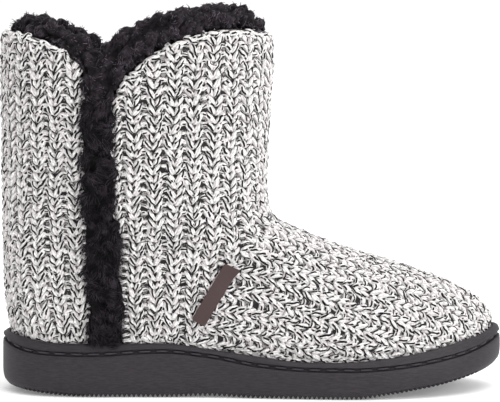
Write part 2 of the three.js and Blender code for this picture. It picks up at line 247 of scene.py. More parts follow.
def add_node(tree, kind, settings=None, inputs=None, links=None):
    """A node of that kind, with its settings, the values of its sockets, and links into its sockets."""
    node = tree.nodes.new(kind)
    for key, value in (settings or {}).items():
        setattr(node, key, value)
    for key, value in (inputs or {}).items():
        node.inputs[key].default_value = value
    for key, source in (links or {}).items():
        tree.links.new(source, node.inputs[key])
    return node


def add_object(name, data, place=(0, 0, 0), target=None):
    """An object in the scene. A camera or a light looks from its place at the target."""
    thing = bpy.data.objects.new(name, data)
    bpy.context.scene.collection.objects.link(thing)
    thing.location = place
    if target is not None:
        thing.rotation_euler = (Vector(target) - thing.location).to_track_quat("-Z", "Y").to_euler()
    return thing


def finish_piece(name, mesh, material):
    """An object for a finished mesh. It rides on the one body."""
    piece = add_object(name, mesh)
    mesh.materials.append(material)
    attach(piece, "root")
    return piece


# Camera: the photograph looks at the outer side, from a little above
CAMERA = {"place": (-0.0012, -1.25, 0.206), "target": (-0.0012, 0, 0.1015), "lens": 167.4, "sensor": 36}


def make_camera():
    data = bpy.data.cameras.new("camera")
    data.sensor_width = CAMERA["sensor"]
    data.lens = CAMERA["lens"]
    bpy.context.scene.camera = add_object("camera", data, CAMERA["place"], CAMERA["target"])


# Yarn: many short tubes joined in one mesh
def unit(vectors):
    return vectors / np.maximum(np.linalg.norm(vectors, axis=-1, keepdims=True), 1e-12)


class Yarn:
    """Collects tubes. A batch is lines (count, steps, 3), with the face and the lower side of each."""

    def __init__(self):
        self.places, self.quads, self.uvs, self.size = [], [], [], 0

    def add(self, lines, face, lower, radii, sides=6, flat=0.9):
        count, steps, _ = lines.shape
        along = unit(np.gradient(lines, axis=1))
        face = unit(face - along * np.sum(face * along, axis=-1, keepdims=True))
        across = np.cross(along, face)
        turned = np.sum(across * lower, axis=-1).mean(axis=1) < 0
        across[turned] *= -1
        angle = 2 * np.pi * np.arange(sides) / sides
        out = face[:, :, None] * np.cos(angle)[:, None] * flat + across[:, :, None] * np.sin(angle)[:, None]
        rings = lines[:, :, None] + out * radii[..., None, None]
        ring, side = np.meshgrid(np.arange(steps - 1), np.arange(sides), indexing="ij")
        nxt = (side + 1) % sides
        here, ahead = ring * sides, (ring + 1) * sides
        wall = np.stack([here + side, here + nxt, ahead + nxt, ahead + side], -1)
        caps = self.cap_quads(steps, sides)
        faces = np.concatenate([wall.reshape(-1, 4), caps])
        first = self.size + np.arange(count)[:, None, None] * steps * sides
        placed = faces[None] + first
        placed[turned] = placed[turned][:, :, ::-1]
        corner_ring = np.stack([ring, ring, ring + 1, ring + 1], -1).reshape(-1, 4)
        length = np.linalg.norm(np.diff(lines, axis=1), axis=-1)
        u = np.concatenate([np.zeros((count, 1)), np.cumsum(length, axis=1)], axis=1) / MM
        twist = (u * KNIT["twist"])[:, corner_ring]
        u += rng.uniform(0, 900, (count, 1))
        shift = rng.normal(0, 0.03, count)
        corner_side = np.stack([side, side + 1, side + 1, side], -1).reshape(-1, 4)
        wall_u = u[:, corner_ring]
        wall_v = corner_side[None] / sides + shift[:, None, None] + twist
        cap_u = np.repeat(u[:, [0, -1]], len(caps) // 2, axis=1)[:, :, None].repeat(4, axis=2)
        cap_v = np.full_like(cap_u, 0.6)
        uv = np.stack([np.concatenate([wall_u, cap_u], 1), np.concatenate([wall_v, cap_v], 1)], -1)
        uv[turned] = uv[turned][:, :, ::-1]
        self.places.append(rings.reshape(-1, 3))
        self.quads.append(placed.reshape(-1, 4))
        self.uvs.append(uv.reshape(-1, 2))
        self.size += count * steps * sides

    @staticmethod
    def cap_quads(steps, sides):
        """Both ends closed with fans of quads."""
        last = (steps - 1) * sides
        quads = [(0, k + 2, k + 1, k) for k in range(1, sides - 1, 2)]
        ends = [tuple(last + v for v in reversed(quad)) for quad in quads]
        return np.array(quads + ends)

    def mesh(self, name):
        places = np.concatenate(self.places)
        quads = np.concatenate(self.quads)
        mesh = bpy.data.meshes.new(name)
        mesh.vertices.add(len(places))
        mesh.vertices.foreach_set("co", places.ravel())
        mesh.loops.add(quads.size)
        mesh.loops.foreach_set("vertex_index", quads.ravel())
        mesh.polygons.add(len(quads))
        mesh.polygons.foreach_set("loop_start", np.arange(len(quads)) * 4)
        mesh.polygons.foreach_set("use_smooth", np.ones(len(quads), bool))
        layer = mesh.uv_layers.new(name="yarn")
        layer.data.foreach_set("uv", np.concatenate(self.uvs).ravel())
        mesh.update(calc_edges=True)
        return mesh


# The outside of the knitted wall, felt with rays
wall_tree = BVHTree.FromObject(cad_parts["upper"], bpy.context.evaluated_depsgraph_get())
RAY_REACH = 0.12
RAY_START = 0.06  # how far outside the shaft its level rays start
LEAST_HITS = 12  # that make a course


def feel(origin, direction):
    """Where a ray first meets the outside of the knitted wall, and how it faces there."""
    hit, normal, _, _ = wall_tree.ray_cast(origin, direction, RAY_REACH)
    if hit is None or normal.dot(direction) > -0.02:
        return None
    return hit, normal


class Course:
    """A line along the outside of the knit, which stitches follow."""

    def __init__(self, hits, keep):
        window = np.hanning(9)[1:-1]
        window /= window.sum()
        self.places = self.soften(np.array([hit for hit, _ in hits]), window)
        self.faces = unit(self.soften(np.array([normal for _, normal in hits]), window))
        self.keep = np.array(keep, float)
        self.run = run_along(self.places)
        self.along = unit(np.gradient(self.places, axis=0))

    @staticmethod
    def soften(values, window):
        pad = len(window) // 2
        wide = np.concatenate([np.repeat(values[:1], pad, 0), values, np.repeat(values[-1:], pad, 0)])
        return np.stack([np.convolve(wide[:, k], window, "valid") for k in range(3)], axis=1)

    def read(self, values, run):
        return np.stack([np.interp(run, self.run, values[:, k]) for k in range(3)], axis=-1)

    def kept(self, run):
        inside = self.run[0] <= run <= self.run[-1]
        return inside and np.interp(run, self.run, self.keep) > 0.5

    def line(self, run, across, out):
        """Points at a run along the course, moved across it and out from the knit, and the way they face."""
        along, face = unit(self.read(self.along, run)), unit(self.read(self.faces, run))
        side = np.cross(along, face)
        height = out - KNIT["sunk"] * MM
        place = self.read(self.places, run) + side * across[:, None] + face * height[:, None]
        return place, face, along, side


def height_at_edge(x):
    """Height of the knitted edge above x, in millimetres."""
    xs, zs = np.array(COLLAR_EDGE).T
    return np.interp(x, xs, zs)


def seam_at(z):
    xs, zs = np.array(SEAM).T
    return np.interp(z, zs, xs)


def under_strip(place, margin):
    """Whether a place in millimetres lies under one of the pile strips."""
    (low_x, low_z, low_half), (high_x, high_z, high_half) = STRIP["low"], STRIP["high"]
    share = np.clip((place[2] - low_z) / (high_z - low_z), 0, 1)
    middle = low_x + (high_x - low_x) * share
    half = low_half + (high_half - low_half) * share
    return abs(place[0] - middle) < half - margin and abs(place[1]) > 20


def in_mm(place):
    return (place[0] - HEEL) / MM, place[1] / MM, place[2] / MM


def oval_stations(count):
    """Points evenly round the top of the shaft, from the heel, each with the way it faces: x, y and x, y."""
    angle = np.linspace(0, 2 * np.pi, 1441) + np.pi
    reach = (np.abs(np.cos(angle)) ** OVAL_POWER + np.abs(np.sin(angle)) ** OVAL_POWER) ** (-1 / OVAL_POWER)
    middle = (SHAFT["back"] + SHAFT["front"]) / 2
    half = (SHAFT["front"] - SHAFT["back"]) / 2
    xs = middle + half * reach * np.cos(angle)
    ring = np.stack([xs, SHAFT["width"] / 2 * reach * np.sin(angle)], axis=1)
    along = unit(np.gradient(ring, axis=0))
    run = run_along(ring)
    at = run[-1] * np.arange(count) / count
    facing = np.stack([along[:, 1], -along[:, 0]], axis=1)
    return [tuple(np.interp(at, run, column)) for column in (*ring.T, *facing.T)]


def shaft_course(x, y, face_x, face_y):
    """A course up the shaft under one point of its top."""
    inwards = Vector((-face_x, -face_y, 0)).normalized()
    hits, keep = [], []
    for z in np.arange(12, 200, 1.0):
        found = feel(spot(x, y, z) - inwards * RAY_START, inwards)
        if found is None:
            if hits:
                break
            continue
        at = in_mm(found[0])
        hits.append(found)
        in_cup = at[2] < read_table("rim", at[0]) - 3
        past_seam = at[0] > seam_at(at[2]) + 2 and at[2] < SEAM[-1][1]
        keep.append(not (in_cup or past_seam or under_strip(at, 2)))
    return Course(hits, keep) if len(hits) > LEAST_HITS else None


def vamp_course(rank):
    """A course along the vamp, rank wales to the outer (negative) or the inner side of its top line."""
    side = -1 if rank < 0 else 1
    drop = abs(rank) * KNIT["vamp_wale"]
    hits, keep = [], []
    for x in np.arange(VAMP["throat"], VAMP["toe"], VAMP["step"]):
        found = over_vamp(x, side, drop)
        if found is None:
            break
        hits.append(found)
    if not hits:
        return None
    while True:
        x, y, z = in_mm(hits[-1][0])
        found = feel(spot(330, y, z - 0.7), Vector((-1, 0, 0))) if z > read_table("rim", x) - 1 else None
        if found is None or (found[0] - hits[-1][0]).length > 2.5 * MM:
            break
        hits.append(found)
    start = in_mm(hits[0][0])
    slope = max(0.12, 0.62 - 0.0085 * drop)
    back = []
    for x in np.arange(VAMP["beside"], VAMP["back"], -VAMP["step"]):
        z = start[2] + (VAMP["throat"] - x) * slope
        found = feel(spot(x, side * 120, z), Vector((0, -side, 0))) if abs(rank) > 0.9 else None
        if found is None:
            break
        back.append(found)
    hits = back[::-1] + hits
    for hit, _ in hits:
        x, _, z = in_mm(hit)
        keep.append(x > seam_at(z) - 2 and z > read_table("rim", x) - 3)
    return Course(hits, keep) if len(hits) > LEAST_HITS else None


def edge_course():
    """The finished edge of the knit, all the way round the top of the shaft."""
    hits, keep = [], []
    for x, y, face_x, face_y in zip(*oval_stations(1400)):
        inwards = Vector((-face_x, -face_y, 0)).normalized()
        found = feel(spot(x, y, height_at_edge(x) - 1.8) - inwards * RAY_START, inwards)
        if found is not None:
            hits.append(found)
            keep.append(not NOTCH[0] < in_mm(found[0])[0] < NOTCH[1])
    return Course(hits, keep)


def rim_course(outline, inwards):
    """The foot of the knit, just above the lip of the sole all the way round."""
    hits, keep = [], []
    for (x, y), (in_x, in_y) in zip(outline, inwards):
        way = Vector((in_x, in_y, 0)).normalized()
        found = feel(spot(x, y, read_table("rim", x) + 0.7) - way * 0.02, way)
        if found is not None:
            hits.append(found)
            keep.append(not under_strip(in_mm(found[0]), 1))
    return Course(hits, keep)


def over_vamp(x, side, drop):
    """The place at a drop, measured over the vamp from its top line, in the plane at x."""
    base = Vector((HEEL + x * MM, ridge_y(x) * MM, read_table("rim", x) * MM - 0.004))
    last, run = None, 0.0
    for turn in np.radians(np.arange(90, -24, -3.0)):
        way = Vector((0, side * math.cos(turn), math.sin(turn)))
        found = feel(base + way * 0.1, -way)
        if found is None:
            return None
        if last is not None:
            step = (found[0] - last[0]).length / MM
            if run + step >= drop:
                share = (drop - run) / step
                return last[0].lerp(found[0], share), last[1].lerp(found[1], share).normalized()
            run += step
        elif drop == 0:
            return found
        last = found
    return None


def ridge_y(x):
    return float(np.interp(x, [146, SOLE_LENGTH], [0, TOE_TIP_Y]))


def leg(course, run, size, sway, side, half, skew):
    """One leg of a knitted V. Its foot lies on the V below and its top is tucked under the V above."""
    t = np.linspace(0, 1, 8)
    across = sway + side * (0.2 + (half - 0.2) * t ** 0.9) + skew * (t - 0.5)
    out = -0.75 + 1.75 * np.sin(np.pi * t ** 0.62) ** 0.6 - 0.75 * t + rng.normal(0, 0.1)
    rise = (-2.4 + 5.9 * t + 0.4 * t ** 2) * size + rng.normal(0, 0.2) + rng.normal(0, 0.35) * (t - 0.4)
    place, face, _, _ = course.line(run + rise * MM, across * MM, out * MM)
    heading = unit(np.gradient(place, axis=0))
    lower = side * np.cross(heading, face)
    plump = rng.normal(1, 0.07)
    radii = (0.45 + 1.25 * np.sin(np.pi * (0.06 + 0.88 * t)) ** 0.6) * plump * MM
    return place, face, lower.mean(axis=0)[None], radii


def bump(course, run, size, sway, skew):
    """One purl loop: a short oval lying across the course, lower than the legs beside it."""
    t = np.linspace(-1, 1, 6)
    across = sway + 2.6 * t * rng.normal(1, 0.12)
    out = -1.1 + 1.3 * (1 - t ** 2) + rng.normal(0, 0.25)
    rise = skew * t - 0.8 * t ** 2 + rng.normal(0, 0.3)
    place, face, along, _ = course.line(run + rise * MM, across * MM, out * MM)
    radii = (0.5 + 0.85 * np.sqrt(1 - t ** 2 * 0.9)) * rng.normal(1, 0.1) * size * MM
    return place, face, -along.mean(axis=0)[None], radii


def loop_along(course, run, length, tilt):
    """One loop of a finished edge, lying askew along its course."""
    t = np.linspace(-1, 1, 8)
    across = tilt * t + rng.normal(0, 0.3)
    out = -1.1 + 1.6 * (1 - t ** 4) + rng.normal(0, 0.2)
    rise = 0.5 * length * t
    place, face, _, right = course.line(run + rise * MM, across * MM, out * MM)
    radii = (0.5 + 1.1 * np.sqrt(1 - 0.95 * t ** 2)) * rng.normal(1, 0.1) * MM
    return place, face, right.mean(axis=0)[None], radii


def pick_piece(place):
    """The piece of knit that a stitch belongs to."""
    x, y, z = in_mm(place)
    side = "outer" if y < 0 else "inner"
    if x > seam_at(z) and z < SEAM[-1][1]:
        return "knit_vamp_" + side
    return ("knit_heel_" if x < 56 else "knit_shaft_") + side


def half_width(place):
    """How wide the V stitches open: less near the sole and over the vamp, more at the top of the shaft."""
    x, _, z = in_mm(place)
    if x > seam_at(z) and z < SEAM[-1][1]:
        return float(np.interp(x, [150, 235, 265], [3.7, 4.0, 4.5]))
    return float(np.interp(z, [40, 95, 130], [3.9, 4.1, 4.5]))


def shaft_levels():
    """Heights of the courses of V stitches up the shaft."""
    levels = [14.0]
    while levels[-1] < 200:
        levels.append(levels[-1] + np.interp(levels[-1], *zip(*COURSE_PITCH)))
    return np.array(levels)


def knit_stitches(outline, inwards):
    """The ribs of the knit: V stitches in raised wales, purl loops between them, and loops at its edges."""
    legs, bumps, loops = {}, {}, {}

    def put(store, place, item):
        store.setdefault(pick_piece(place), []).append(item)

    def follow(course, runs, raised):
        phase = rng.uniform(0, 2 * np.pi, 2)
        sizes = np.gradient(runs) / MM / KNIT["vamp_course"]
        for run, size in zip(runs, sizes):
            if not course.kept(run):
                continue
            sway = 0.6 * math.sin(run / MM / 8 + phase[0]) + 0.4 * math.sin(run / MM / 19 + phase[1])
            sway += rng.normal(0, 0.2)
            skew = rng.normal(0, 0.5)
            run += rng.normal(0, 0.22) * MM
            middle = course.read(course.places, run)
            if raised:
                half = half_width(middle) * rng.normal(1, 0.05)
                for side in (-1, 1):
                    put(legs, middle, leg(course, run, size, sway, side, half * rng.normal(1, 0.06), skew))
            else:
                put(bumps, middle, bump(course, run, size, sway, skew))

    levels = shaft_levels()
    for k, station in enumerate(zip(*oval_stations(2 * KNIT["wales"]))):
        course = shaft_course(*station)
        if course is None:
            continue
        raised = k % 2 == 0
        here = (levels if raised else levels[:-1] + 0.45 * np.diff(levels)) * MM
        here = here[(here > course.places[0, 2]) & (here < course.places[-1, 2] - 1.5 * MM)]
        follow(course, np.interp(here, course.places[:, 2], course.run), raised)
    for half_rank in HALF_RANKS:
        course = vamp_course(half_rank / 2)
        if course is None:
            continue
        raised = half_rank % 2 == 0
        pitch = KNIT["vamp_course"] * MM
        start = course.run[0] + (0 if raised else 0.5 * pitch)
        follow(course, np.arange(start, course.run[-1], pitch), raised)
    finished = {"edge": edge_course(), "rim": rim_course(outline, inwards)}
    for line, course in finished.items():
        for run in np.arange(0, course.run[-1], LOOP_PITCH[line] * MM):
            if course.kept(run):
                at = run + rng.normal(0, 0.4) * MM
                item = loop_along(course, at, rng.uniform(4.8, 7), rng.normal(0.6, 0.9))
                put(loops, course.read(course.places, run), item)
    return legs, bumps, loops


def stacked(items):
    """Batches of tubes as arrays: lines, the way they face, their lower sides and their radii."""
    return [np.array([item[k] for item in items]) for k in range(4)]


def make_knit(outline, inwards, material):
    stores = knit_stitches(outline, inwards)
    for name in sorted(set().union(*stores)):
        yarn = Yarn()
        for store in stores:
            if name in store:
                yarn.add(*stacked(store[name]))
        finish_piece(name, yarn.mesh(name), material)


def copied_node(node):
    """A copy of a node's mesh with its doubles merged, as a bmesh."""
    bm = bmesh.new()
    bm.from_mesh(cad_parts[node].data)
    bmesh.ops.remove_doubles(bm, verts=bm.verts, dist=0.01 * MM)
    return bm


def mesh_from(bm, name, smooth_angle=None):
    mesh = bpy.data.meshes.new(name)
    bm.to_mesh(mesh)
    bm.free()
    mesh.shade_smooth()
    if smooth_angle is not None:
        mesh.set_sharp_from_angle(angle=math.radians(smooth_angle))
    return mesh


# Outsole
def sole_stations():
    """Stations along the foot, close at its ends, and in step with the tread's ribs between them."""
    turn = 12
    ends = turn * (1 - np.cos(np.linspace(0, np.pi / 2, 16)))[:-1]
    middle = np.arange(turn, SOLE_LENGTH - turn, RIB["pitch"] / 4)
    xs = np.concatenate([ends, middle, SOLE_LENGTH - ends[::-1]])
    cut = np.concatenate([np.zeros(15), np.arange(len(middle)) % 4 // 2, np.zeros(15)])
    return xs, cut * RIB["depth"]


def make_outsole(material):
    posts = [(0, 0)] + [(x, -outer) for x, outer, _ in OUTLINE] + [(SOLE_LENGTH, TOE_TIP_Y)]
    posts += [(x, inner) for x, _, inner in reversed(OUTLINE)]
    ring = through(posts, 60)
    xs, cut = sole_stations()
    toe = int(np.argmax(ring[:, 0]))
    outer = np.interp(xs, ring[:toe + 1, 0], ring[:toe + 1, 1])
    back = np.concatenate([ring[toe:], ring[:1]])[::-1]
    inner = np.interp(xs, back[:, 0], back[:, 1])
    outline = np.concatenate([np.stack([xs, outer], 1), np.stack([xs, inner], 1)[-2:0:-1]])
    ribs = np.concatenate([cut, cut[-2:0:-1]])
    along = unit(np.roll(outline, -1, axis=0) - np.roll(outline, 1, axis=0))
    inwards = np.stack([-along[:, 1], along[:, 0]], axis=1)
    bm = bmesh.new()
    count = len(outline)
    edges = []
    for inset, line, step, ribbed in SOLE_WALL:
        places = outline + inwards * inset
        heights = read_table(line, outline[:, 0]) + step + ribs * ribbed
        spots = [spot(*place, z) for place, z in zip(places, heights)]
        if not edges:
            verts = [bm.verts.new(s) for s in spots]
            edges = [bm.edges.new((verts[k], verts[(k + 1) % count])) for k in range(count)]
            first = verts
            continue
        grown = bmesh.ops.extrude_edge_only(bm, edges=edges)["geom"]
        new_verts = {v for v in grown if isinstance(v, bmesh.types.BMVert)}
        follow = [next(e.other_vert(v) for e in v.link_edges if e.other_vert(v) in new_verts) for v in verts]
        for vert, s in zip(follow, spots):
            vert.co = s
        verts = follow
        edges = [bm.edges.get((verts[k], verts[(k + 1) % count])) for k in range(count)]
    half = len(xs) - 1
    for row in (first, verts):
        for k in range(half):
            corners = [row[k], row[k + 1], row[(count - k - 1) % count], row[(count - k) % count]]
            bm.faces.new(dict.fromkeys(corners))
    bmesh.ops.recalc_face_normals(bm, faces=bm.faces)
    piece = finish_piece("outsole_moulding", mesh_from(bm, "outsole_moulding", 32), material)
    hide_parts("outsole")
    return outline, inwards


def make_groove_thread(outline, inwards, material):
    """The stitches that lie in the groove round the sole."""
    places = outline + inwards * GROOVE_STITCH["inset"]
    heights = read_table("groove", outline[:, 0])
    line = np.stack([HEEL + places[:, 0] * MM, places[:, 1] * MM, heights * MM], axis=1)
    line = np.concatenate([line, line[:1]])
    run = run_along(line)
    count = round(run[-1] / (GROOVE_STITCH["pitch"] * MM))
    t = np.linspace(-0.5, 0.5, 7)
    lines, faces = [], []
    for k in range(count):
        at = (run[-1] * (k + 0.5) / count + t * GROOVE_STITCH["length"] * MM) % run[-1]
        lines.append(np.stack([np.interp(at, run, line[:, j]) for j in range(3)], axis=1))
        ways = [np.interp(at, run, np.append(inwards[:, j], inwards[0, j])) for j in range(2)]
        out = np.stack(ways, axis=1)
        faces.append(np.concatenate([-out, np.zeros((7, 1))], axis=1))
    lines, faces = np.array(lines), unit(np.array(faces))
    lines -= faces * (np.abs(2 * t)[None, :, None] ** 6) * 0.9 * MM
    radii = np.full(lines.shape[:2], GROOVE_STITCH["radius"] * MM) * (1 - 0.45 * np.abs(2 * t) ** 4)
    yarn = Yarn()
    yarn.add(lines, faces, np.array([[[0, 0, -1.0]]]), radii)
    finish_piece("groove_thread", yarn.mesh("groove_thread"), material)


# Pile
HAIR_STEPS = 4
HANG = ([156, 172], [1.2, 0])  # heights between which the hairs go from hanging to lying any way


def hairs_on(mesh, wanted, allow, length, thickness, bend, seed):
    """Curly hairs on the locks of a mesh. Each leaves the surface and bends over; low down it hangs."""
    mesh.calc_loop_triangles()
    places = np.array([v.co for v in mesh.vertices])
    corners = np.array([t.vertices for t in mesh.loop_triangles])
    a, b, c = (places[corners[:, k]] for k in range(3))
    cross = np.cross(b - a, c - a)
    area = np.linalg.norm(cross, axis=1) / 2
    draw = np.random.default_rng(seed)
    picks = draw.choice(len(area), size=wanted * 6, p=area / area.sum())
    u, v = draw.random((2, len(picks)))
    over = u + v > 1
    u[over], v[over] = 1 - u[over], 1 - v[over]
    roots = a[picks] + (b - a)[picks] * u[:, None] + (c - a)[picks] * v[:, None]
    normals = unit(cross[picks])
    crease = np.empty(len(mesh.vertices))
    mesh.attributes["crease"].data.foreach_get("value", crease)
    on_lock = crease[corners[picks]].mean(axis=1) < draw.uniform(0.35, 0.8, len(picks))
    good = allow(roots, normals) & on_lock
    roots, normals = roots[good][:wanted], normals[good][:wanted]
    count = len(roots)
    whirl = np.stack([flow(roots, 5, k + seed) for k in range(3)], axis=1)
    hang = np.interp(roots[:, 2] / MM, *HANG)
    way = unit(whirl * 1.5 + draw.normal(0, 0.25, (count, 3)) - np.array([0, 0, 1]) * hang[:, None])
    way = unit(way - normals * np.sum(way * normals, axis=1, keepdims=True))
    t = np.linspace(0, 1, HAIR_STEPS)
    turn = draw.normal(bend, 0.25, (count, 1)) * t ** 0.8
    steps = np.cos(turn)[..., None] * normals[:, None] + np.sin(turn)[..., None] * way[:, None]
    steps += draw.normal(0, 0.11, steps.shape)
    long = length * MM * draw.uniform(0.65, 1.25, (count, 1))
    lines = roots[:, None] + (np.cumsum(steps, axis=1) - steps[:, :1]) * (long / (HAIR_STEPS - 1))[..., None]
    lines -= normals[:, None] * 0.5 * MM
    radii = thickness / 2 * (1 - 0.75 * t) * MM * draw.uniform(0.75, 1.25, (count, 1))
    face = np.repeat(np.cross(way, normals)[:, None], HAIR_STEPS, axis=1)
    return lines, face, normals[:, None], radii


def flow(places, size, seed):
    """A slow wave through space, from -1 to 1, by which neighbouring hairs lie alike."""
    x, y, z = (places / (size * MM)).T
    bend = 1.7 * np.sin(z * 0.9 + seed)
    return np.sin(x * 1.1 + 2.3 * seed + bend) * np.cos(y * 0.8 + z * 0.6 + 1.3 * seed)


def make_hairs(name, base, material, **growth):
    yarn = Yarn()
    yarn.add(*hairs_on(base.data, **growth), sides=4, flat=1)
    finish_piece(name, yarn.mesh(name), material)


def lock_at(place, grain, seed):
    """How high a lock of pile is domed at a place, and how near the next crease is, both from 0 to 1."""
    at = place / (grain * MM) + Vector((seed, 0, 0))
    at += noise.noise_vector(at * 1.6) * 0.3
    near, second = noise.voronoi(at)[0][:2]
    return max(0, 1 - (near / 0.8) ** 2), 1 - min(1, (second - near) / 0.4)


def rough_copy(name, node, material, cuts, rounds, depth, grain, seed, tuck=None):
    """A node's solid made smoother and then lobed like pile, which stands for it. The collar's top is
    raised. A strip's sides wander, and above the height tuck it is drawn out upwards, under the roll."""
    bm = copied_node(node)
    bmesh.ops.subdivide_edges(bm, edges=bm.edges, cuts=cuts, use_grid_fill=True)
    for _ in range(rounds):
        bmesh.ops.smooth_vert(
            bm, verts=bm.verts, factor=0.5, use_axis_x=True, use_axis_y=True, use_axis_z=True)
    if node == "fur_collar":
        for vert in bm.verts:
            x, _, z = in_mm(vert.co)
            share = min(1, max(0, z - height_at_edge(x)) / 9)
            vert.co.z += share * np.interp(x, *zip(*COLLAR_RISE)) * MM
    if tuck is not None:
        for vert in bm.verts:
            height = vert.co.z / MM
            vert.co.x += (0.8 * math.sin(height * 0.19 + seed) + 0.5 * math.sin(height * 0.43)) * MM
            vert.co.z += 0.6 * max(0, vert.co.z - tuck * MM)
    bm.normal_update()
    crease = bm.verts.layers.float.new("crease")
    for vert in bm.verts:
        dome, vert[crease] = lock_at(vert.co, grain, seed)
        curl = noise.noise(vert.co / (1.5 * MM))
        vert.co += vert.normal * ((1.5 * dome - 0.9 - 0.5 * vert[crease] + 0.25 * curl) * depth * MM)
    piece = finish_piece(name, mesh_from(bm, name), material)
    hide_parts(node)
    return piece


def make_knit_ground(material):
    """The knitted wall behind the stitches, drawn in outside so that their crests lie where it was."""
    bm = copied_node("upper")
    pile_tree = BVHTree.FromObject(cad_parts["lining"], bpy.context.evaluated_depsgraph_get())
    bm.normal_update()
    outside = [vert for vert in bm.verts if pile_tree.find_nearest(vert.co)[3] > 2 * MM]
    moves = [vert.normal * -KNIT["sunk"] * MM for vert in outside]
    for vert, move in zip(outside, moves):
        vert.co += move
    bmesh.ops.subdivide_edges(bm, edges=bm.edges, cuts=1, use_grid_fill=True)
    piece = finish_piece("knit_wall", mesh_from(bm, "knit_wall"), material)
    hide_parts("upper")


def make_label(material):
    """The small folded ribbon on the seam, left bare."""
    (x0, z0), (x1, z1) = LABEL["low"], LABEL["high"]
    way = np.array([x1 - x0, z1 - z0]) / math.hypot(x1 - x0, z1 - z0)
    bm = bmesh.new()
    grid = bmesh.ops.create_grid(bm, x_segments=4, y_segments=24, size=1)["verts"]
    for vert in grid:
        across, share = vert.co.x * LABEL["half_width"], (vert.co.y + 1) / 2
        dog_ear = max(0, share - 0.86) / 0.14 * max(0, across / LABEL["half_width"])
        x = x0 + (x1 - x0) * share + way[1] * across + 1.3 * dog_ear
        z = z0 + (z1 - z0) * share - way[0] * across
        hit, normal = feel(spot(x, -120, z), Vector((0, 1, 0)))
        lift = 2.1 + 0.25 * math.sin(7 * share) - 0.25 * (across / LABEL["half_width"]) ** 2 + 0.8 * dog_ear
        vert.co = hit + normal * lift * MM
    bmesh.ops.solidify(bm, geom=bm.faces, thickness=1.1 * MM)
    bmesh.ops.recalc_face_normals(bm, faces=bm.faces)
    piece = finish_piece("label_ribbon", mesh_from(bm, "label_ribbon", 40), material)
    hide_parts("label")


